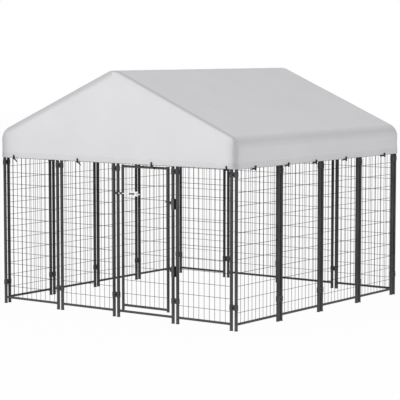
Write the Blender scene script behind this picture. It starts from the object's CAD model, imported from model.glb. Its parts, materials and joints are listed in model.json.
"""Dresses the kennel run: round wires, weld beads, the sewn cover with its ties, finishes and stage."""
import json
import math

import bpy
import numpy as np
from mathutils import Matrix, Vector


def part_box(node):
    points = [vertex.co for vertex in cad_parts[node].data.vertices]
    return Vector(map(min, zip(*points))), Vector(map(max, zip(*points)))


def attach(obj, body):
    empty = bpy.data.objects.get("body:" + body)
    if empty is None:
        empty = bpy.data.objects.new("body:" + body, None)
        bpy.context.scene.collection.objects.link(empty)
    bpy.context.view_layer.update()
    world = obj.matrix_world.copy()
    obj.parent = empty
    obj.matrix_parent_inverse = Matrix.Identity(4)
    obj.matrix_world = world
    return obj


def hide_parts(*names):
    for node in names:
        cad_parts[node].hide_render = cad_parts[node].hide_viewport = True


bl_info = {
    "name": "Kennel run",
    "version": (1, 0, 0),
    "blender": (4, 5, 0),
    "location": "View3D > Sidebar > Kennel",
    "description": "Builds the wire panels, cloth cover and finishes of a dog kennel run",
    "category": "Object",
}

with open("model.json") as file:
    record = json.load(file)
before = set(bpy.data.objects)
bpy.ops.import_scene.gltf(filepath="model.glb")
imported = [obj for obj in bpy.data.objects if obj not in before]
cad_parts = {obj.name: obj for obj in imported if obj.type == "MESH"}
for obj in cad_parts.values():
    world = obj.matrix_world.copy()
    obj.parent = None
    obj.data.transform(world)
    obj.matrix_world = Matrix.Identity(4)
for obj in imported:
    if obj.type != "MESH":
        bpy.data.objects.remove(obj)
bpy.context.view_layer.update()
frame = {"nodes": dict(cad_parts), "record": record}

WALLS = ("front", "right", "back", "left")
PANELS = (1, 2, 3, 4)
DOOR_PANEL = ("front", 3)
UP = np.array([0.0, 0.0, 1.0])
TAU = 2 * math.pi

# Where most of a noise's values lie
NOISE_SPAN = (0.3, 0.7)
# Orange peel's scale and specular level of the tubes' powder coat
TUBE_COAT = (900.0, 0.12)
# Shades of a hinge band and of its ears, where the ears start in post radii, and half the edge between
BAND_SHADE, EAR_SHADE, EAR_START, EAR_EDGE = 1.6, 0.1, 1.15, 0.0005
# Sides of rods and cords; steps, sides, count of swells and share of swell of a weld bead
ROD_SIDES, BEAD_STEPS, BEAD_SIDES, BEAD_SWELLS, BEAD_SWELL = 8, 72, 6, 18, 0.14
# A wire weld's radii along, out of and up the wall, in nuggets
NUGGET_SHAPE = np.array([1, 0.7, 1])
# Lift of the sharp ridge over the blended one, in ridge rounds times (1 / cos pitch - 1)
RIDGE_LIFT = 3.53
# Depth under the eaves over which the gables' rounds become the corners'
ROUND_FADE = 0.1
# Cells of the cover from ridge to eave, along the ridge and down the skirt, and how even they are
SLOPE_CELLS, LENGTH_CELLS, SKIRT_CELLS, EVEN_SHARE = 64, 96, 28, 0.3
SETTLE_STEPS = 14
# A normal's rise where the cloth turns from wall to slope, and the turn's width
TURN, TURN_WIDTH = 0.5, 0.4
# A gable's swell: its height, and its width in half sides
GABLE_HEIGHT, GABLE_WIDTH = 0.6, 2.1
# A drop's swells: share of the billow, count, shift in half sides, top and fade below it
DROP_SHARE, DROP_SWELLS, DROP_SHIFT, DROP_TOP, DROP_TOP_FADE = 0.25, 8, 0.13, 1.44, 0.1
# Creases: share away from the corners, reach from a corner, and lift of the folds
CREASE_SHARE, CREASE_REACH, FOLD_LIFT = 0.12, 0.28, 1.6
# Folds and ripples in radians to a metre, and the folds' lean along x and y
FOLD, FOLD_LEAN = 46, (0.55, 0.35)
CROSS_FOLD, CROSS_LEAN, CROSS_START = 31, (0.8, 0.2), 1.3
RIPPLE_SHARE, RIPPLE = 0.35, (9, 27)
# A normal's least part that counts on walls and on slopes, and the span up to its full part
WALL_PART, SLOPE_PART, PART_FADE = 0.3, 0.2, 0.5
# Greying of the cloth as a share of its colour, with the distances over which it fades
WEATHER_CORNER, WEATHER_FADE = 0.56, 0.048
LEE_CORNER, LEE_PLACE, LEE_OUTSIDE, LEE_INSIDE = 0.39, 0.030, 0.042, 0.026
DROP_CORNER, DROP_FADE = 0.15, 0.042
WEATHER_RAFTER, LEE_RAFTER, RAFTER_SPAN = 0.25, 0.03, (0.026, 0.060)
LEE_SLOPE, SLOPE_SPAN = 0.19, (0.030, 0.050)
BEND_GREY, BEND_FULL = 0.17, 0.164
LOW_GREY, LOW_HEIGHT = 0.03, 0.35
HEM_GREY = 0.05
# Cloth that an eave's round takes up
# A stitch's radius, sides, share of its pitch and lift, and its rows' places in from the hem's edges
STITCH_R, STITCH_SIDES, STITCH_SHARE, STITCH_LIFT = 0.00045, 4, 0.62, 0.0011
STITCH_ROWS = (0.006, 0.005)
# Panel of each tie and its place along that panel's top rail, on the gable and the drop walls
GABLE_TIES = ((1, 0.22), (2, 0.35), (3, 0.65), (4, 0.94))
DROP_TIES = ((1, 0.38), (2, 0.11), (2, 0.84), (3, 0.59), (4, 0.66))
# A tie's reach in tails along the wall, its fall, and its toggle's height over the hem's edge
GABLE_TAIL = (0.75, 0.030, 0.004)
DROP_TAIL = (-1.5, 0.004, -0.002)
# A tail's swell off the hem, drop under the toggle's middle, first radius and taper in straps, and knot
TAIL_SWELL, TAIL_DROP, TAIL_START, TAIL_TAPER = 0.001, 0.004, 1.15, 0.55
KNOT_SHAPE = np.array([0.85, 0.75, 0.8])
# A toggle's gap to the hem, its waist's depth and width, and its noose's radius in toggle radii
TOGGLE_GAP, WAIST, WAIST_WIDTH, NOOSE = 0.0008, 0.35, 0.3, 0.72
# An eyelet's place off the cloth and the radius of its bead
EYELET_LIFT, EYELET_BEAD = 0.0012, 0.0015
# What the lamps face, and the share of plain white in the floor
RUN_MIDDLE = (0.0, 0.0, 0.9)
FLOOR_WHITE = 0.97


def box_size(node):
    """Lengths of a node's box along x, y and z."""
    low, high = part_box(node)
    return high - low


HALF = next(m["pos_m"][0] for m in frame["record"]["mounts"] if m["name"] == "back_right_foot")
POST_R = box_size("front_frame_1").y / 2
RAIL_R = box_size("ridge_tubes").x / 2
STILE_R = box_size("door_caps").y / 2
WIRE_R = box_size("front_mesh_1").y / 2
COVER_LOW, COVER_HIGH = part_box("cover_roof")
GABLE_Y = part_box("cover_back_gable")[1].y


class RunCamera(bpy.types.PropertyGroup):
    """Where the run is seen from."""

    place: bpy.props.FloatVectorProperty(
        name="Place", description="Camera's place", default=(8.597, -11.644, 2.198), subtype="TRANSLATION")
    turn: bpy.props.FloatProperty(
        name="Turn", description="Turn about the upright axis", default=math.radians(36.55), subtype="ANGLE")
    tilt: bpy.props.FloatProperty(
        name="Tilt", description="Tilt below the horizon", default=math.radians(5.24), subtype="ANGLE")
    focal: bpy.props.FloatProperty(
        name="Focal length", description="Lens on a 36 mm wide sensor, in millimetres", default=149.2)


class RunWire(bpy.types.PropertyGroup):
    """The welded wire and the weld beads of the panel frames."""

    upright_pitch: bpy.props.FloatProperty(
        name="Upright pitch", description="Spacing of the walls' uprights", default=0.0516, unit="LENGTH")
    door_upright_pitch: bpy.props.FloatProperty(
        name="Door pitch", description="Spacing of the door's uprights", default=0.047, unit="LENGTH")
    gable_rows: bpy.props.FloatVectorProperty(
        name="Front row places", description="Lowest level wire's rise and spacing, front and back walls",
        size=2, default=(0.0985, 0.0985), unit="LENGTH")
    drop_rows: bpy.props.FloatVectorProperty(
        name="Side row places", description="Lowest level wire's rise and spacing, side walls",
        size=2, default=(0.089, 0.1045), unit="LENGTH")
    door_rows: bpy.props.FloatVectorProperty(
        name="Door row places", description="Lowest level wire's rise and spacing, door",
        size=2, default=(0.096, 0.112), unit="LENGTH")
    wall_count: bpy.props.IntProperty(name="Wall rows", description="Level wires of a panel", default=11)
    door_count: bpy.props.IntProperty(name="Door rows", description="Level wires of the door", default=9)
    sink: bpy.props.FloatProperty(
        name="Weld sink", description="Depth that crossed wires share", default=0.0003, unit="LENGTH")
    nugget: bpy.props.FloatProperty(
        name="Nugget", description="Radius of a weld at a wire crossing", default=0.0021, unit="LENGTH")
    bead: bpy.props.FloatProperty(
        name="Bead", description="Radius of a weld bead between tubes", default=0.0021, unit="LENGTH")
    weld_gap: bpy.props.FloatProperty(
        name="Weld gap", description="Gap that a weld closes", default=0.0001, unit="LENGTH")


class RunCover(bpy.types.PropertyGroup):
    """The sewn cloth cover."""

    pitch: bpy.props.FloatProperty(
        name="Pitch", description="Pitch of the roof", default=math.radians(23.5), subtype="ANGLE")
    ridge_round: bpy.props.FloatProperty(
        name="Ridge round", description="Blend of the two slopes", default=0.0467, unit="LENGTH")
    eave_round: bpy.props.FloatProperty(
        name="Eave round", description="Blend of a slope and its drop", default=0.072, unit="LENGTH")
    gable_round: bpy.props.FloatProperty(
        name="Gable round", description="Blend of a slope and a gable", default=0.0225, unit="LENGTH")
    corner_round: bpy.props.FloatProperty(
        name="Corner round", description="Blend of a drop and a gable", default=0.034, unit="LENGTH")
    stand_off: bpy.props.FloatProperty(
        name="Stand off", description="Gap of the cloth's walls to the solids", default=0.006, unit="LENGTH")
    thickness: bpy.props.FloatProperty(
        name="Thickness", description="Thickness of the cloth", default=0.0015, unit="LENGTH")
    sag: bpy.props.FloatProperty(
        name="Sag", description="Sag of a slope between the trusses", default=0.006, unit="LENGTH")
    billow: bpy.props.FloatProperty(
        name="Billow", description="Swell of the gables and drops", default=0.004, unit="LENGTH")
    crease: bpy.props.FloatProperty(
        name="Crease", description="Depth of the soft creases", default=0.0016, unit="LENGTH")
    hem: bpy.props.FloatProperty(
        name="Hem", description="Height of the sewn hem", default=0.046, unit="LENGTH")
    stitch: bpy.props.FloatProperty(
        name="Stitch", description="Length of a stitch and its gap", default=0.008, unit="LENGTH")


class RunTies(bpy.types.PropertyGroup):
    """The toggles that tie the cover to the top rails."""

    cord: bpy.props.FloatProperty(
        name="Cord", description="Radius of the tie's cord", default=0.0014, unit="LENGTH")
    strap: bpy.props.FloatProperty(
        name="Strap", description="Radius of a tie's tail", default=0.0062, unit="LENGTH")
    toggle: bpy.props.FloatProperty(
        name="Toggle", description="Length of a toggle", default=0.040, unit="LENGTH")
    toggle_r: bpy.props.FloatProperty(
        name="Toggle radius", description="Radius of a toggle at its ends", default=0.0072, unit="LENGTH")
    tail: bpy.props.FloatProperty(
        name="Tail", description="Reach of a tail along the hem", default=0.046, unit="LENGTH")
    rise: bpy.props.FloatProperty(
        name="Rise", description="Height of an eyelet over the rail's middle", default=0.009, unit="LENGTH")
    eyelet_r: bpy.props.FloatProperty(
        name="Eyelet", description="Radius of an eyelet's ring", default=0.0058, unit="LENGTH")


class RunColours(bpy.types.PropertyGroup):
    """Colours of the finishes."""

    paint: bpy.props.FloatVectorProperty(
        name="Paint", description="Powder coat of the tubes", default=(0.064, 0.064, 0.066), subtype="COLOR")
    wire: bpy.props.FloatVectorProperty(
        name="Wire", description="Powder coat of the wires", default=(0.018, 0.018, 0.019), subtype="COLOR")
    plastic: bpy.props.FloatVectorProperty(
        name="Plastic", description="Caps and grip", default=(0.014, 0.014, 0.015), subtype="COLOR")
    black_steel: bpy.props.FloatVectorProperty(
        name="Black steel", description="Bolts and nuts", default=(0.005, 0.005, 0.0055), subtype="COLOR")
    zinc: bpy.props.FloatVectorProperty(
        name="Zinc", description="Plated latch and fasteners", default=(0.93, 0.925, 0.90), subtype="COLOR")
    cloth: bpy.props.FloatVectorProperty(
        name="Cloth", description="Coated cloth of the cover", default=(0.76, 0.755, 0.775), subtype="COLOR")
    cord: bpy.props.FloatVectorProperty(
        name="Cord", description="Ties and toggles", default=(0.005, 0.005, 0.0055), subtype="COLOR")


SETTINGS = {"run_camera": RunCamera, "run_wire": RunWire, "run_cover": RunCover, "run_ties": RunTies,
            "run_colours": RunColours}


def settings(name):
    """One of the scene's groups of settings."""
    return getattr(bpy.context.scene, name)


def wall_axes(k):
    """Directions along wall k and out of it; wall 0 is the front, and they go round to the right."""
    angle = k * math.pi / 2
    along = np.array([round(math.cos(angle)), round(math.sin(angle)), 0.0])
    out = np.array([round(math.sin(angle)), -round(math.cos(angle)), 0.0])
    return along, out


def on_wall(k, s, out, z):
    """Points at s along wall k from its middle, out from its posts' line, and z up."""
    along, outward = wall_axes(k)
    s, out, z = (np.asarray(v, float)[..., None] for v in np.broadcast_arrays(s, out, z))
    return s * along + (HALF + out) * outward + z * UP


def wall_span(node, k):
    """Lowest and highest s and z of a node on wall k."""
    low, high = (np.array(corner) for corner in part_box(node))
    along, _ = wall_axes(k)
    return *sorted((low @ along, high @ along)), low[2], high[2]


def even_places(low, high, pitch):
    """Places a pitch apart, as many as fit, centred between low and high."""
    count = int(math.floor((high - low) / pitch))
    return (low + high) / 2 + (np.arange(count) - (count - 1) / 2) * pitch


def grid_faces(rows, cols, close_rows=False, close_cols=False):
    """Quads of a grid of points numbered row by row."""
    i, j = np.meshgrid(np.arange(rows - (not close_rows)), np.arange(cols - (not close_cols)), indexing="ij")
    i2, j2 = (i + 1) % rows, (j + 1) % cols
    return np.stack([i * cols + j, i2 * cols + j, i2 * cols + j2, i * cols + j2], -1).reshape(-1, 4)


def copies(faces, count, stride):
    """The same faces for count runs of points, stride points apart."""
    shift = (np.arange(count) * stride)[:, None, None]
    return (faces + shift).reshape(-1, faces.shape[-1])


def join(*parts):
    """Several (points, list of face arrays) shapes as one."""
    points, faces, start = [], [], 0
    for shape_points, shape_faces in parts:
        flat = shape_points.reshape(-1, 3)
        points.append(flat)
        faces += [f + start for f in shape_faces]
        start += len(flat)
    return np.concatenate(points), faces


def sweep(path, side_ref, radius, sides, closed=False):
    """Tubes along paths (tube, step, xyz): centre + r (cos a side + sin a ref), side = tangent x ref."""
    if closed:
        tangent = np.roll(path, -1, axis=1) - np.roll(path, 1, axis=1)
    else:
        tangent = np.gradient(path, axis=1)
    tangent /= np.linalg.norm(tangent, axis=-1, keepdims=True)
    ref = np.broadcast_to(side_ref, path.shape)
    ref = ref - (ref * tangent).sum(-1, keepdims=True) * tangent
    ref = ref / np.linalg.norm(ref, axis=-1, keepdims=True)
    side = np.cross(tangent, ref)
    angle = np.arange(sides) * TAU / sides
    ring = np.cos(angle)[:, None] * side[:, :, None] + np.sin(angle)[:, None] * ref[:, :, None]
    radius = np.broadcast_to(radius, path.shape[:2])[..., None, None]
    points = path[:, :, None] + radius * ring
    tubes, steps = path.shape[:2]
    faces = [copies(grid_faces(steps, sides, closed, True), tubes, steps * sides)]
    if not closed:
        first = np.arange(sides)[None]
        last = (steps - 1) * sides + np.arange(sides)[::-1][None]
        faces += [copies(first, tubes, steps * sides), copies(last, tubes, steps * sides)]
    return points.reshape(-1, 3), faces


def straight(starts, ends, radius, sides, side_ref):
    """Straight round rods from starts to ends."""
    return sweep(np.stack([starts, ends], 1), side_ref, radius, sides)


def rings(centres, across, up, major, minor, steps, sides):
    """Tori about centres, in the planes of the directions across and up."""
    a = (np.arange(steps) * TAU / steps)[:, None]
    spoke = np.cos(a) * across + np.sin(a) * up
    path = centres[:, None] + major * spoke
    return sweep(path, spoke, minor, sides, closed=True)


def pebbles(centres, axes, radii, lat=3, lon=6):
    """Small ellipsoids: centre + radii times the unit sphere's points, on the axes along, out and up."""
    theta = np.linspace(0, math.pi, lat + 2)[1:-1, None]
    phi = (np.arange(lon) * TAU / lon)[None]
    ball = np.stack([np.sin(theta) * np.cos(phi), np.sin(theta) * np.sin(phi),
                     np.cos(theta) * np.ones_like(phi)], -1).reshape(-1, 3)
    ball = np.concatenate([ball, [[0, 0, 1], [0, 0, -1]]]) * radii
    points = centres[:, None] + ball @ np.asarray(axes)
    top, bottom = lat * lon, lat * lon + 1
    j = np.arange(lon)
    j2 = (j + 1) % lon
    caps = np.concatenate([np.stack([j2, j, np.full(lon, top)], -1),
                           np.stack([(lat - 1) * lon + j, (lat - 1) * lon + j2, np.full(lon, bottom)], -1)])
    count, stride = len(centres), len(ball)
    sides = grid_faces(lat, lon, False, True)[:, ::-1]
    return points.reshape(-1, 3), [copies(sides, count, stride), copies(caps, count, stride)]


def volume(points, faces):
    """Signed volume within closed faces, from fans of triangles."""
    total = 0.0
    for f in faces:
        for j in range(1, f.shape[1] - 1):
            a, b, c = points[f[:, 0]], points[f[:, j]], points[f[:, j + 1]]
            total += float((a * np.cross(b, c)).sum()) / 6
    return total


def piece(name, shape, body, slot, closed=True):
    """A new mesh object at the origin that rides on a body, in its slot's finish; closed shapes face out."""
    points, faces = shape
    if closed and volume(points, faces) < 0:
        faces = [f[:, ::-1] for f in faces]
    mesh = bpy.data.meshes.new(name)
    mesh.from_pydata(points.tolist(), [], [row for f in faces for row in f.tolist()])
    mesh.polygons.foreach_set("use_smooth", np.full(len(mesh.polygons), True))
    mesh.update()
    mesh.materials.append(finish(slot))
    obj = bpy.data.objects.new(name, mesh)
    bpy.context.scene.collection.objects.link(obj)
    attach(obj, body)
    return obj


def fill(tree, socket, value):
    """Puts a value or another node's output on an input socket."""
    if isinstance(value, bpy.types.NodeSocket):
        tree.links.new(value, socket)
    else:
        socket.default_value = value


def add_node(tree, kind, inputs=(), **values):
    """Adds a node; inputs pairs a socket's name or number with a value or an output socket."""
    made = tree.nodes.new(kind)
    for name, value in values.items():
        setattr(made, name, value)
    for key, value in dict(inputs).items():
        fill(tree, made.inputs[key], value)
    return made


class Shader:
    """A material's node tree with a Principled BSDF, and a short way to fill it."""

    def __init__(self, name):
        self.material = bpy.data.materials.new(name)
        self.material.use_nodes = True
        self.tree = self.material.node_tree
        self.where = add_node(self.tree, "ShaderNodeTexCoord").outputs["Object"]

    def dress(self, **sockets):
        """Puts values and outputs on the Principled BSDF, and returns the material."""
        inputs = self.tree.nodes["Principled BSDF"].inputs
        for name, value in sockets.items():
            fill(self.tree, inputs[name.replace("_", " ").title().replace("Ior", "IOR")], value)
        return self.material


def noise(tree, where, scale, detail, distortion=0.0):
    """Noise with about scale blotches to a metre."""
    return add_node(tree, "ShaderNodeTexNoise", {"Vector": where, "Scale": scale, "Detail": detail,
                                                 "Distortion": distortion}).outputs["Fac"]


def spread(tree, value, low, high, span=NOISE_SPAN):
    """A value over a span, spread evenly from low to high."""
    return add_node(tree, "ShaderNodeMapRange", {"Value": value, "From Min": span[0], "From Max": span[1],
                                                 "To Min": low, "To Max": high}).outputs["Result"]


def times(tree, colour, factor):
    """A colour times a factor that varies over the surface."""
    scaled = add_node(tree, "ShaderNodeVectorMath", {0: colour, "Scale": factor}, operation="SCALE")
    return scaled.outputs["Vector"]


def math_node(tree, operation, *values):
    """The result of a Math node."""
    return add_node(tree, "ShaderNodeMath", enumerate(values), operation=operation).outputs["Value"]


def bump(tree, height, strength, distance, **under):
    """A Bump node's normal from a height, on top of another normal where one is given."""
    return add_node(tree, "ShaderNodeBump", {"Height": height, "Strength": strength, "Distance": distance,
                                             **under}).outputs["Normal"]


def new_group(name, inputs, outputs):
    """An empty shader node group with named sockets: (name, kind, default) in, (name, kind) out."""
    tree = bpy.data.node_groups.new(name, "ShaderNodeTree")
    for label, kind, default in inputs:
        socket = tree.interface.new_socket(label, in_out="INPUT", socket_type=kind)
        if default is not None:
            socket.default_value = default
    for label, kind in outputs:
        tree.interface.new_socket(label, in_out="OUTPUT", socket_type=kind)
    return tree, tree.nodes.new("NodeGroupInput"), tree.nodes.new("NodeGroupOutput")


def coat_group():
    """Powder coat: fine orange peel height, cloudy tone, and dust that thins out above the ground."""
    if "Powder coat" in bpy.data.node_groups:
        return bpy.data.node_groups["Powder coat"]
    tree, given, put = new_group(
        "Powder coat",
        [("Vector", "NodeSocketVector", None), ("Paint", "NodeSocketColor", (0.05, 0.05, 0.05, 1)),
         ("Peel scale", "NodeSocketFloat", 900.0), ("Dust height", "NodeSocketFloat", 0.3)],
        [("Color", "NodeSocketColor"), ("Roughness", "NodeSocketFloat"), ("Height", "NodeSocketFloat")])
    vector = given.outputs["Vector"]
    peel = noise(tree, vector, given.outputs["Peel scale"], 2.0)
    shade = times(tree, given.outputs["Paint"], spread(tree, noise(tree, vector, 7.0, 4.0), 0.82, 1.2))
    height = add_node(tree, "ShaderNodeSeparateXYZ", {"Vector": vector}).outputs["Z"]
    low = spread(tree, height, 0.22, 0.0, (0.0, given.outputs["Dust height"]))
    speck = noise(tree, vector, 60.0, 5.0)
    colour = add_node(tree, "ShaderNodeMix", {"Factor": math_node(tree, "MULTIPLY", low, speck), "A": shade,
                                              "B": (0.30, 0.28, 0.25, 1)}, data_type="RGBA")
    tree.links.new(colour.outputs["Result"], put.inputs["Color"])
    tree.links.new(spread(tree, speck, 0.36, 0.48), put.inputs["Roughness"])
    tree.links.new(peel, put.inputs["Height"])
    return tree


def powder_coat(name, colour, peel_scale, specular):
    """Satin powder coat on steel, with the shared coat group."""
    s = Shader(name)
    inputs = {"Vector": s.where, "Paint": (*colour, 1), "Peel scale": peel_scale}
    coat = add_node(s.tree, "ShaderNodeGroup", inputs, node_tree=coat_group()).outputs
    return s.dress(base_color=coat["Color"], roughness=coat["Roughness"],
                   normal=bump(s.tree, coat["Height"], 0.18, 0.0004), specular_ior_level=specular)


def eared_coat(name, colour, ear_x):
    """Powder coat on the hinge bands: pale round the post, and blackened on the ears past ear_x."""
    material = powder_coat(name, colour, *TUBE_COAT)
    tree = material.node_tree
    where = add_node(tree, "ShaderNodeTexCoord").outputs["Object"]
    x = add_node(tree, "ShaderNodeSeparateXYZ", {"Vector": where}).outputs["X"]
    edge = (ear_x - EAR_EDGE, ear_x + EAR_EDGE)
    shade = times(tree, colour, spread(tree, x, BAND_SHADE, EAR_SHADE, edge))
    coat = next(node for node in tree.nodes if node.type == "GROUP")
    tree.links.new(shade, coat.inputs["Paint"])
    return material


def moulded_plastic(name, colour):
    """Matt moulded plastic with a fine spark grain."""
    s = Shader(name)
    grain = noise(s.tree, s.where, 1400.0, 2.0)
    wear = noise(s.tree, s.where, 45.0, 4.0)
    return s.dress(base_color=times(s.tree, colour, spread(s.tree, wear, 0.8, 1.5)),
                   roughness=spread(s.tree, wear, 0.48, 0.62), normal=bump(s.tree, grain, 0.25, 0.0002))


def zinc_plate(name, colour):
    """Bright zinc plate with faint spangle and rubbed patches."""
    s = Shader(name)
    spangle = add_node(s.tree, "ShaderNodeTexVoronoi", {"Vector": s.where, "Scale": 160.0}).outputs["Color"]
    value = add_node(s.tree, "ShaderNodeSeparateColor", {"Color": spangle}).outputs["Red"]
    rub = noise(s.tree, s.where, 90.0, 4.0)
    return s.dress(base_color=times(s.tree, colour, spread(s.tree, value, 0.95, 1.06, (0.0, 1.0))),
                   roughness=spread(s.tree, rub, 0.24, 0.42), normal=bump(s.tree, rub, 0.05, 0.0002),
                   metallic=0.9)


def black_oxide(name, colour):
    """Blackened steel: a dull dark skin, paler where handling has rubbed it."""
    s = Shader(name)
    rub = noise(s.tree, s.where, 130.0, 5.0)
    return s.dress(base_color=times(s.tree, colour, spread(s.tree, rub, 0.8, 2.2, (0.35, 0.75))),
                   roughness=spread(s.tree, rub, 0.56, 0.42), normal=bump(s.tree, rub, 0.08, 0.0002),
                   specular_ior_level=0.12)


def weave_group():
    """Plain weave on a map in metres: warp and weft threads over and under each other."""
    if "Plain weave" in bpy.data.node_groups:
        return bpy.data.node_groups["Plain weave"]
    tree, given, put = new_group(
        "Plain weave",
        [("Map", "NodeSocketVector", None), ("Threads per metre", "NodeSocketFloat", 900.0)],
        [("Height", "NodeSocketFloat")])
    threads = times(tree, given.outputs["Map"], given.outputs["Threads per metre"])
    parts = add_node(tree, "ShaderNodeSeparateXYZ", {"Vector": threads})
    angles = [math_node(tree, "MULTIPLY", parts.outputs[axis], math.pi) for axis in "XY"]
    waves = [math_node(tree, "SINE", angle) for angle in angles]
    height = spread(tree, math_node(tree, "MULTIPLY", *waves), 0.0, 1.0, (-1.0, 1.0))
    tree.links.new(height, put.inputs["Height"])
    return tree


def coated_cloth(name, colour):
    """Pale coated polyester: a fine weave, faint clouding, greyed bends, soft rucks and a low sheen."""
    s = Shader(name)
    flat = add_node(s.tree, "ShaderNodeUVMap", uv_map="cloth").outputs["UV"]
    weave = add_node(s.tree, "ShaderNodeGroup", {"Map": flat}, node_tree=weave_group()).outputs["Height"]
    cloud = noise(s.tree, s.where, 2.6, 5.0)
    shade = times(s.tree, colour, spread(s.tree, cloud, 0.975, 1.02))
    bend = add_node(s.tree, "ShaderNodeAttribute", attribute_name="bend").outputs["Fac"]
    aged = times(s.tree, shade, spread(s.tree, bend, 1.0, 0.0, (0.0, 1.0)))
    soft = bump(s.tree, noise(s.tree, s.where, 9.0, 3.0, 0.6), 0.12, 0.006)
    return s.dress(base_color=aged, roughness=spread(s.tree, cloud, 0.62, 0.72),
                   normal=bump(s.tree, weave, 0.2, 0.0003, Normal=soft),
                   specular_ior_level=0.35, sheen_weight=0.12, sheen_roughness=0.5)


def braided_cord(name, colour):
    """Black braided elastic: diagonal strands from a wave."""
    s = Shader(name)
    strands = add_node(s.tree, "ShaderNodeTexWave", {"Vector": s.where, "Scale": 420.0, "Distortion": 1.5},
                       bands_direction="DIAGONAL").outputs["Fac"]
    fuzz = noise(s.tree, s.where, 300.0, 3.0)
    return s.dress(base_color=times(s.tree, colour, spread(s.tree, fuzz, 0.7, 1.6)), roughness=0.7,
                   normal=bump(s.tree, strands, 0.4, 0.0003))


# Maker of each slot's material, its colour in the settings and what else the maker takes
FINISHES = {
    "painted_tube": (powder_coat, "paint", *TUBE_COAT),
    "painted_wire": (powder_coat, "wire", 1500.0, 0.1),
    "black_plastic": (moulded_plastic, "plastic"),
    "zinc_steel": (zinc_plate, "zinc"),
    "black_steel": (black_oxide, "black_steel"),
    "cover_cloth": (coated_cloth, "cloth"),
    "tie_cord": (braided_cord, "cord"),
}


def finish(slot):
    """The material of one of the record's slots, made once."""
    name = "run_" + slot
    if name in bpy.data.materials:
        return bpy.data.materials[name]
    make, colour, *values = FINISHES[slot]
    return make(name, tuple(getattr(settings("run_colours"), colour)), *values)


def panel_names(part):
    """(wall number, node name) of each frame or mesh, in order round the run."""
    return [(k, f"{wall}_{part}_{i}") for k, wall in enumerate(WALLS) for i in PANELS
            if part == "frame" or (wall, i) != DOOR_PANEL]


def round_mesh(k, node, end_r, pitch, rows, count):
    """A welded panel: uprights outside, level wires inside, and a flat ball of weld at each crossing."""
    w = settings("run_wire")
    left, right, low, high = wall_span(node, k)
    gap = w.weld_gap
    columns = even_places(left - gap, right + gap, pitch)
    rows = rail_heights(node)[0] + rows[0] + np.arange(count) * rows[1]
    reach = WIRE_R - w.sink / 2
    root = 2 * gap + end_r - math.sqrt(end_r ** 2 - (reach + WIRE_R) ** 2)
    along, out = wall_axes(k)
    uprights = straight(on_wall(k, columns, reach, low - root), on_wall(k, columns, reach, high + root),
                        WIRE_R, ROD_SIDES, out)
    levels = straight(on_wall(k, left - root, -reach, rows), on_wall(k, right + root, -reach, rows),
                      WIRE_R, ROD_SIDES, out)
    s, z = np.meshgrid(columns, rows)
    welds = pebbles(on_wall(k, s.ravel(), 0.0, z.ravel()), (along, out, UP), NUGGET_SHAPE * w.nugget)
    return join(uprights, levels, welds)


def saddle(k, s, sign, z, post_r):
    """Weld bead of a level tube on an upright one: out = r sin a, z = r cos a, s = sqrt(R^2 - out^2)."""
    w = settings("run_wire")
    a = np.arange(BEAD_STEPS) * TAU / BEAD_STEPS
    out = RAIL_R * np.sin(a)
    path = on_wall(k, s + sign * np.sqrt(post_r ** 2 - out ** 2), out, z + RAIL_R * np.cos(a))
    _, outward = wall_axes(k)
    spoke = np.sin(a)[:, None] * outward + np.cos(a)[:, None] * UP
    ripple = w.bead * (1 + BEAD_SWELL * np.cos(BEAD_SWELLS * a))
    return sweep(path[None], spoke, ripple, BEAD_SIDES, closed=True)


def frame_beads(k, node, upright_r, low, high):
    """The four weld beads of a panel's frame, whose rails' centre lines are at low and high."""
    left, right, _, _ = wall_span(node, k)
    return [saddle(k, s, sign, z, upright_r)
            for s, sign in ((left + upright_r, 1), (right - upright_r, -1)) for z in (low, high)]


def rail_heights(mesh_node):
    """Heights of the rails' centre lines below and above a mesh."""
    low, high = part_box(mesh_node)
    gap = settings("run_wire").weld_gap
    return low.z - RAIL_R - gap, high.z + RAIL_R + gap


def blend_max(a, b, r):
    """The larger of two distances, with a round of radius r where they meet."""
    u, v = np.maximum(a + r, 0), np.maximum(b + r, 0)
    return np.minimum(np.maximum(a, b), -r) + np.hypot(u, v)


def roof_height(x, c):
    """Height of the sharp outer roof planes at x."""
    lift = c.ridge_round * RIDGE_LIFT * (1 / math.cos(c.pitch) - 1)
    return COVER_HIGH.z + lift - np.abs(x) * math.tan(c.pitch)


def cover_distance(p, c):
    """Distance outside the taut cover: the blended largest of both slopes, the drops and the gables."""
    rise = (p[..., 2] - roof_height(0.0, c)) * math.cos(c.pitch)
    run = p[..., 0] * math.sin(c.pitch)
    slopes = blend_max(rise + run, rise - run, c.ridge_round)
    sides = blend_max(slopes, np.abs(p[..., 0]) - COVER_HIGH.x - c.stand_off, c.eave_round)
    below = np.clip((roof_height(COVER_HIGH.x, c) - p[..., 2]) / ROUND_FADE, 0, 1)
    edge = c.gable_round + (c.corner_round - c.gable_round) * below * below * (3 - 2 * below)
    return blend_max(sides, np.abs(p[..., 1]) - GABLE_Y - c.stand_off, edge)


def cover_normal(p, c, step=1e-4):
    """Gradient of cover_distance by central differences."""
    shifts = np.eye(3) * step
    return np.stack([cover_distance(p + s, c) - cover_distance(p - s, c) for s in shifts], -1) / (2 * step)


def settle_on_cover(p, c):
    """Moves points along the gradient until they lie on the taut cover."""
    for _ in range(SETTLE_STEPS):
        g = cover_normal(p, c)
        p = p - (cover_distance(p, c) / np.maximum((g * g).sum(-1), 1e-6))[..., None] * g
    return p


def clustered(count):
    """Values from 0 to 1 that lie closer together at both ends."""
    t = np.linspace(0, 1, count + 1)
    return EVEN_SHARE * t + (1 - EVEN_SHARE) * (1 - np.cos(math.pi * t)) / 2


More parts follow.
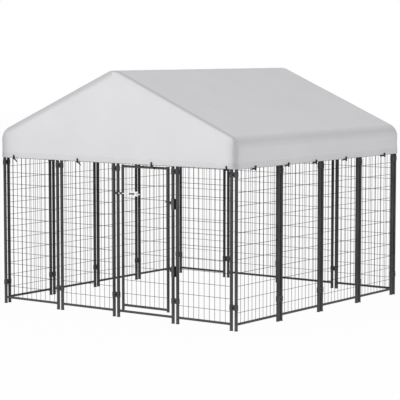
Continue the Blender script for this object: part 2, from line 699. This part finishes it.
def cover_slack(p, n, c):
    """Outward shift of the cloth: sag between trusses, swell of the upright walls, and soft creases."""
    x, y, z = p[..., 0], p[..., 1], p[..., 2]
    sloped = np.clip((n[..., 2] - TURN) / TURN_WIDTH, 0, 1)
    upright = np.clip((TURN - n[..., 2]) / TURN_WIDTH, 0, 1)
    fall = np.clip(np.abs(x) / HALF, 0, 1)
    sag = -c.sag * np.sin(math.pi * fall) * np.sin(math.pi * y / HALF) ** 2
    end = np.abs(n[..., 1])
    rise = np.clip((z - COVER_LOW.z) / GABLE_HEIGHT, 0, 1)
    gable = c.billow * np.cos(math.pi * x / (GABLE_WIDTH * HALF)) * np.sin(math.pi * rise)
    drop = DROP_SHARE * c.billow * (1 - np.cos(DROP_SWELLS * math.pi * (y / HALF + DROP_SHIFT)))
    drop *= np.clip((DROP_TOP - z) / DROP_TOP_FADE, 0, 1)
    corner = np.exp(-np.hypot(np.abs(x) - HALF, np.abs(y) - HALF) / CREASE_REACH)
    fold = np.sin(FOLD * (z - FOLD_LEAN[0] * np.abs(x) - FOLD_LEAN[1] * np.abs(y)))
    fold += np.sin(CROSS_FOLD * (z + CROSS_LEAN[0] * x - CROSS_LEAN[1] * y) + CROSS_START)
    crease = c.crease / 2 * (CREASE_SHARE + corner) * (fold + FOLD_LIFT) * upright
    ripple = np.sin(RIPPLE[0] * np.abs(x) + RIPPLE[1] * y) * np.sin(math.pi * fall)
    ripple *= RIPPLE_SHARE * c.crease / 2
    return sloped * (sag + ripple * sloped) + upright * (end * gable + (1 - end) * drop) + crease


def cover_grid(c):
    """The cover: slopes on an x-y grid and a skirt down from their rim, settled on the blended shape."""
    half_x = clustered(SLOPE_CELLS)
    xs = np.concatenate([-half_x[::-1], half_x[1:]]) * (COVER_HIGH.x + c.stand_off)
    ys = (2 * clustered(LENGTH_CELLS) - 1) * (GABLE_Y + c.stand_off)
    x, y = np.meshgrid(xs, ys, indexing="ij")
    top = np.stack([x, y, roof_height(x, c)], -1)
    nx, ny = x.shape
    number = np.arange(nx * ny).reshape(nx, ny)
    rim_number = np.concatenate([number[:-1, 0], number[-1, :-1], number[:0:-1, -1], number[0, :0:-1]])
    rim = top.reshape(-1, 3)[rim_number]
    depth = clustered(SKIRT_CELLS)[1:, None, None]
    skirt = rim + depth * (COVER_LOW.z - rim[:, 2:]) * UP
    skirt_number = nx * ny + np.arange(SKIRT_CELLS * len(rim)).reshape(SKIRT_CELLS, len(rim))
    rows = np.concatenate([rim_number[None], skirt_number])
    after = np.roll(rows, -1, axis=1)
    sides = np.stack([rows[:-1], rows[1:], after[1:], after[:-1]], -1).reshape(-1, 4)
    points = settle_on_cover(np.concatenate([top.reshape(-1, 3), skirt.reshape(-1, 3)]), c)
    normal = cover_normal(points, c)
    normal /= np.linalg.norm(normal, axis=-1, keepdims=True)
    points = points + cover_slack(points, normal, c)[:, None] * normal
    return points, [grid_faces(nx, ny), sides], rows, normal


def near(distance, full, none):
    """1 up to one distance, falling to 0 at another."""
    return 1 - np.clip((distance - full) / (none - full), 0, 1)


def cloth_bend(obj, points, normal, c, doubled=0.0):
    """Greying of the cloth: on its eave and ridge bends, beside its upright corners, and beside the rafters
    on the gables' weather side and on the slopes' lee side."""
    x, y, z = points.T
    nx, ny, nz = np.abs(normal.T)
    weather = x * y > 0
    corner = np.maximum(COVER_HIGH.x + c.stand_off - np.abs(x), 0)
    end = np.maximum(GABLE_Y + c.stand_off - np.abs(y), 0)
    under = (roof_height(x, c) - z) * math.cos(c.pitch)
    gable, drop, top = (np.clip((part - least) / PART_FADE, 0, 1)
                        for part, least in ((ny, WALL_PART), (nx, WALL_PART), (nz, SLOPE_PART)))
    beyond = corner - LEE_PLACE
    lee = LEE_CORNER * np.where(beyond > 0, np.exp(-np.abs(beyond) / LEE_INSIDE),
                                np.exp(-(beyond / LEE_OUTSIDE) ** 2))
    upright = gable * np.where(weather, WEATHER_CORNER * np.exp(-corner / WEATHER_FADE), lee)
    upright += drop * DROP_CORNER * np.exp(-end / DROP_FADE)
    rafter = gable * np.where(weather, WEATHER_RAFTER, LEE_RAFTER) * near(under, *RAFTER_SPAN)
    rafter += top * np.where(weather, 0.0, LEE_SLOPE) * near(end, *SLOPE_SPAN)
    slope = nx * math.sin(c.pitch) + nz * math.cos(c.pitch)
    bends = BEND_GREY * np.sqrt(np.clip((1 - np.maximum(nx, slope)) / BEND_FULL, 0, 1)) * (1 - gable)
    low = LOW_GREY * gable * near(z, COVER_LOW.z, COVER_LOW.z + LOW_HEIGHT)
    grey = np.clip(np.maximum(upright, rafter) + bends + low + doubled, 0, 1)
    layer = obj.data.attributes.new("bend", "FLOAT", "POINT")
    layer.data.foreach_set("value", grey.astype(np.float32))


def cloth_map(obj, points, rows):
    """A map in metres: x and y on the slopes, and distance round the rim and height on the skirt."""
    corner = np.zeros(len(obj.data.loops), np.int64)
    obj.data.loops.foreach_get("vertex_index", corner)
    ring = points[rows[-1]]
    step = np.linalg.norm(np.roll(ring, -1, axis=0) - ring, axis=-1)
    round_it = np.concatenate([[0], np.cumsum(step)[:-1]])
    skirt = np.zeros((len(points), 2))
    skirt[rows] = np.stack(np.broadcast_arrays(round_it, points[rows, 2]), -1)
    skirt_corners = 4 * (rows.shape[0] - 1) * rows.shape[1]
    is_skirt = np.arange(len(corner)) >= len(corner) - skirt_corners
    uv = np.where(is_skirt[:, None], skirt[corner], points[corner, :2])
    obj.data.uv_layers.new(name="cloth").data.foreach_set("uv", uv.astype(np.float32).ravel())


def hem_path(points, rows, normal):
    """The cover's lower edge, with its level outward directions."""
    edge = points[rows[-1]]
    out = normal[rows[-1]] * np.array([1, 1, 0])
    return edge, out / np.linalg.norm(out, axis=-1, keepdims=True)


def hem_band(edge, out, c):
    """A doubled hem: a flat closed loop of cloth carried round the cover's lower edge."""
    t = c.thickness
    outer, inner, turn = 0.0009, -t - 0.0003, 0.001
    profile = np.array([[0.0006, c.hem], [outer, c.hem - turn], [outer, turn], [0.0004, -0.0008],
                        [-0.4 * t, -0.0012], [-t - 0.0001, -0.0006], [inner, turn],
                        [inner, c.hem - turn], [-t, c.hem]])
    points = edge[:, None] + profile[:, :1] * out[:, None] + profile[:, 1:] * UP
    return points.reshape(-1, 3), [grid_faces(len(edge), len(profile), True, True)]


def hem_stitches(edge, out, c):
    """Two rows of stitches on the hem, each stitch a short thin rod along the edge."""
    ring = np.concatenate([edge, edge[:1]])
    far = np.concatenate([[0], np.cumsum(np.linalg.norm(np.diff(ring, axis=0), axis=-1))])
    count = int(far[-1] / c.stitch)
    begin = np.arange(count) * far[-1] / count
    outs = np.concatenate([out, out[:1]])

    def at(distance, values):
        return np.stack([np.interp(distance, far, values[:, a]) for a in range(3)], -1)

    rods = []
    end = begin + STITCH_SHARE * c.stitch
    for z in (STITCH_ROWS[0], c.hem - STITCH_ROWS[1]):
        lift = at(begin, outs) * STITCH_LIFT + z * UP
        rods.append(straight(at(begin, ring) + lift, at(end, ring) + lift, STITCH_R, STITCH_SIDES, UP))
    return join(*rods)


def tie_places(k):
    """Places of the ties along wall k."""
    places = []
    for panel, share in DROP_TIES if k % 2 else GABLE_TIES:
        left, right, _, _ = wall_span(f"{WALLS[k]}_frame_{panel}", k)
        places.append(left + POST_R + share * (right - left - 2 * POST_R))
    return np.array(places)


def toggle_profile(t):
    """A toggle's radii R sqrt(1 - u^6) (1 - waist exp(-(u / width)^2)), domed and waisted, and heights."""
    u = np.sin(np.linspace(-math.pi / 2, math.pi / 2, 15))
    dome = np.sqrt(np.maximum(1 - np.abs(u) ** 6, 0.01))
    return t.toggle_r * dome * (1 - WAIST * np.exp(-(u / WAIST_WIDTH) ** 2)), u * t.toggle / 2


def wall_ties(k, rail_z):
    """A wall's ties: loop round the rail, stem through the eyelet, toggle on the hem, and a knotted tail."""
    t = settings("run_ties")
    along, out = wall_axes(k)
    face = COVER_HIGH.x - HALF + settings("run_cover").stand_off
    s = tie_places(k)
    ring_r = RAIL_R + t.cord
    loop = rings(on_wall(k, s, 0.0, rail_z), out, UP, ring_r, t.cord, 32, ROD_SIDES)
    seat = face + t.toggle_r + TOGGLE_GAP
    stem_out, stem_z = math.sqrt(ring_r ** 2 - t.rise ** 2), rail_z + t.rise
    stem = straight(on_wall(k, s, stem_out, stem_z), on_wall(k, s, seat, stem_z), t.cord, ROD_SIDES, UP)
    reach, fall, lift = DROP_TAIL if k % 2 else GABLE_TAIL
    toggle_z = COVER_LOW.z + lift
    radii, heights = toggle_profile(t)
    toggle = sweep(on_wall(k, s[:, None], seat, toggle_z + heights), out, radii, 14)
    noose_r = NOOSE * t.toggle_r + t.cord
    noose = rings(on_wall(k, s, seat, toggle_z), along, out, noose_r, t.cord, 20, ROD_SIDES)
    u = np.linspace(0, 1, 10)[None]
    path = on_wall(k, s[:, None] + reach * t.tail * u, seat + TAIL_SWELL * np.sin(math.pi * u),
                   toggle_z - TAIL_DROP - fall * u)
    tail = sweep(path, out, t.strap * (TAIL_START - TAIL_TAPER * u), 10)
    knot = pebbles(path[:, -1], (along, out, UP), KNOT_SHAPE * t.strap, 5, 10)
    return join(loop, stem, toggle, noose, tail, knot)


def wall_eyelets(k, rail_z):
    """Pressed rings round the ties' holes in the hem."""
    t = settings("run_ties")
    along, _ = wall_axes(k)
    face = COVER_HIGH.x - HALF + settings("run_cover").stand_off + EYELET_LIFT
    centres = on_wall(k, tie_places(k), face, rail_z + t.rise)
    return rings(centres, along, UP, t.eyelet_r, EYELET_BEAD, 24, ROD_SIDES)


class KENNEL_OT_camera(bpy.types.Operator):
    """Places the camera at the run's front right"""

    bl_idname = "kennel.camera"
    bl_label = "Camera"

    def execute(self, context):
        view = settings("run_camera")
        data = bpy.data.cameras.new("view")
        data.sensor_width = 36.0
        data.lens = view.focal
        data.clip_end = 200.0
        camera = bpy.data.objects.new("view", data)
        camera.location = view.place
        camera.rotation_euler = (math.pi / 2 - view.tilt, 0.0, view.turn)
        context.scene.collection.objects.link(camera)
        context.scene.camera = camera
        return {"FINISHED"}


class KENNEL_OT_finishes(bpy.types.Operator):
    """Puts its slot's finish on every solid"""

    bl_idname = "kennel.finishes"
    bl_label = "Finishes"

    def execute(self, context):
        for sub in frame["record"]["subparts"]:
            obj = frame["nodes"][sub["node"]]
            material = finish(sub["material_slot"])
            if sub["node"] == "hinge_bands":
                hinge_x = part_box("front_frame_3")[1].x - POST_R
                paint = tuple(settings("run_colours").paint)
                material = eared_coat("run_hinge_coat", paint, hinge_x + EAR_START * POST_R)
            if not obj.material_slots:
                obj.data.materials.append(material)
            for material_slot in obj.material_slots:
                material_slot.material = material
        return {"FINISHED"}


class KENNEL_OT_wire_panels(bpy.types.Operator):
    """Makes the round welded wires of every panel and of the door"""

    bl_idname = "kennel.wire_panels"
    bl_label = "Wire panels"

    def execute(self, context):
        w = settings("run_wire")
        for k, node in panel_names("mesh"):
            rows = w.gable_rows if k % 2 == 0 else w.drop_rows
            shape = round_mesh(k, node, POST_R, w.upright_pitch, rows, w.wall_count)
            obj = piece(node + "_wires", shape, "run", "painted_wire")
            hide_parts(node)
        shape = round_mesh(0, "door_mesh", STILE_R, w.door_upright_pitch, w.door_rows, w.door_count)
        obj = piece("door_wires", shape, "door", "painted_wire")
        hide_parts("door_mesh")
        return {"FINISHED"}


class KENNEL_OT_weld_beads(bpy.types.Operator):
    """Runs weld beads round the rails where they meet posts and stiles"""

    bl_idname = "kennel.weld_beads"
    bl_label = "Weld beads"

    def execute(self, context):
        heights = rail_heights("front_mesh_1")
        for k, wall in enumerate(WALLS):
            frames = [node for n, node in panel_names("frame") if n == k]
            beads = [bead for node in frames for bead in frame_beads(k, node, POST_R, *heights)]
            piece(wall + "_weld_beads", join(*beads), "run", "painted_tube")
        beads = frame_beads(0, "door_frame", STILE_R, *rail_heights("door_mesh"))
        piece("door_weld_beads", join(*beads), "door", "painted_tube")
        return {"FINISHED"}


class KENNEL_OT_cover(bpy.types.Operator):
    """Makes the cloth cover as one sheet, with its hem and stitches"""

    bl_idname = "kennel.cover"
    bl_label = "Cover"

    def execute(self, context):
        c = settings("run_cover")
        points, faces, rows, normal = cover_grid(c)
        cover = piece("cover_sheet", (points, faces), "run", "cover_cloth", closed=False)
        cloth_map(cover, points, rows)
        cloth_bend(cover, points, normal, c)
        shell = cover.modifiers.new("thickness", "SOLIDIFY")
        shell.thickness = c.thickness
        shell.offset = -1.0
        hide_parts("cover_roof", "cover_front_gable", "cover_back_gable")
        edge, out = hem_path(points, rows, normal)
        band = hem_band(edge, out, c)
        hem = piece("cover_hem", band, "run", "cover_cloth")
        cloth_bend(hem, band[0], np.repeat(out, len(band[0]) // len(out), axis=0), c, HEM_GREY)
        stitches = piece("cover_stitches", hem_stitches(edge, out, c), "run", "cover_cloth")
        return {"FINISHED"}


class KENNEL_OT_ties(bpy.types.Operator):
    """Ties the cover's hem to the top rails with toggles and eyelets"""

    bl_idname = "kennel.ties"
    bl_label = "Ties"

    def execute(self, context):
        _, rail_z = rail_heights("front_mesh_1")
        walls = range(len(WALLS))
        ties = piece("cover_toggles", join(*[wall_ties(k, rail_z) for k in walls]), "run", "tie_cord")
        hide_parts("cover_ties")
        piece("cover_eyelets", join(*[wall_eyelets(k, rail_z) for k in walls]), "run", "zinc_steel")
        return {"FINISHED"}


class KENNEL_OT_stage(bpy.types.Operator):
    """Lays a white floor, and lights the run with a sky and two soft lamps"""

    bl_idname = "kennel.stage"
    bl_label = "Stage"

    def execute(self, context):
        bpy.ops.mesh.primitive_plane_add(size=60.0, location=(0.0, 0.0, -0.001))
        floor = context.object
        floor.name = "floor"
        floor.data.materials.append(white_floor())
        white_sky(context.scene, strength=0.62)
        soft_lamp("key", place=(0.5, -17.0, 4.0), size=8.0, watts=860.0)
        soft_lamp("fill", place=(9.0, -3.0, 4.0), size=4.0, watts=94.0)
        context.scene.view_settings.view_transform = "Standard"
        return {"FINISHED"}


def seen_directly(tree):
    """1 for camera, glossy and transmitted rays, which see the plain white."""
    rays = add_node(tree, "ShaderNodeLightPath").outputs
    glossy = math_node(tree, "MAXIMUM", rays["Is Camera Ray"], rays["Is Glossy Ray"])
    return math_node(tree, "MAXIMUM", glossy, rays["Is Transmission Ray"])


def white_floor():
    """White floor that keeps a light shadow."""
    material = bpy.data.materials.new("white_floor")
    material.use_nodes = True
    tree = material.node_tree
    tree.nodes.clear()
    paper = add_node(tree, "ShaderNodeBsdfDiffuse", {"Color": (0.85, 0.85, 0.85, 1)})
    glow = add_node(tree, "ShaderNodeEmission")
    share = math_node(tree, "MULTIPLY", seen_directly(tree), FLOOR_WHITE)
    mix = add_node(tree, "ShaderNodeMixShader",
                   {0: share, 1: paper.outputs["BSDF"], 2: glow.outputs["Emission"]})
    add_node(tree, "ShaderNodeOutputMaterial", {"Surface": mix.outputs["Shader"]})
    return material


def white_sky(scene, strength):
    """A white sky seen directly, and dimmer light from it on the run."""
    world = bpy.data.worlds.new("white_sky")
    world.use_nodes = True
    tree = world.node_tree
    back = tree.nodes["Background"]
    back.inputs["Color"].default_value = (1, 1, 1, 1)
    fill(tree, back.inputs["Strength"], spread(tree, seen_directly(tree), strength, 1.0, (0.0, 1.0)))
    scene.world = world


def soft_lamp(name, place, size, watts):
    """A square soft lamp that faces the middle of the run."""
    data = bpy.data.lights.new(name, "AREA")
    data.size = size
    data.energy = watts
    lamp = bpy.data.objects.new(name, data)
    lamp.location = place
    away = Vector(place) - Vector(RUN_MIDDLE)
    lamp.rotation_euler = away.to_track_quat("Z", "Y").to_euler()
    bpy.context.scene.collection.objects.link(lamp)


OPERATORS = (KENNEL_OT_camera, KENNEL_OT_finishes, KENNEL_OT_wire_panels, KENNEL_OT_weld_beads,
             KENNEL_OT_cover, KENNEL_OT_ties, KENNEL_OT_stage)


class KENNEL_PT_panel(bpy.types.Panel):
    """Lists the steps that dress the run"""

    bl_idname = "KENNEL_PT_panel"
    bl_label = "Kennel run"
    bl_space_type = "VIEW_3D"
    bl_region_type = "UI"
    bl_category = "Kennel"

    def draw(self, context):
        for operator in OPERATORS:
            self.layout.operator(operator.bl_idname)


def register():
    for group in SETTINGS.values():
        bpy.utils.register_class(group)
    for name, group in SETTINGS.items():
        setattr(bpy.types.Scene, name, bpy.props.PointerProperty(type=group))
    for cls in (*OPERATORS, KENNEL_PT_panel):
        bpy.utils.register_class(cls)


def unregister():
    for cls in (KENNEL_PT_panel, *reversed(OPERATORS)):
        bpy.utils.unregister_class(cls)
    for name, group in SETTINGS.items():
        delattr(bpy.types.Scene, name)
        bpy.utils.unregister_class(group)


def main():
    """Registers the add-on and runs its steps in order."""
    register()
    bpy.ops.kennel.camera()
    bpy.ops.kennel.finishes()
    bpy.ops.kennel.wire_panels()
    bpy.ops.kennel.weld_beads()
    bpy.ops.kennel.cover()
    bpy.ops.kennel.ties()
    bpy.ops.kennel.stage()


if __name__ == "__main__":
    main()
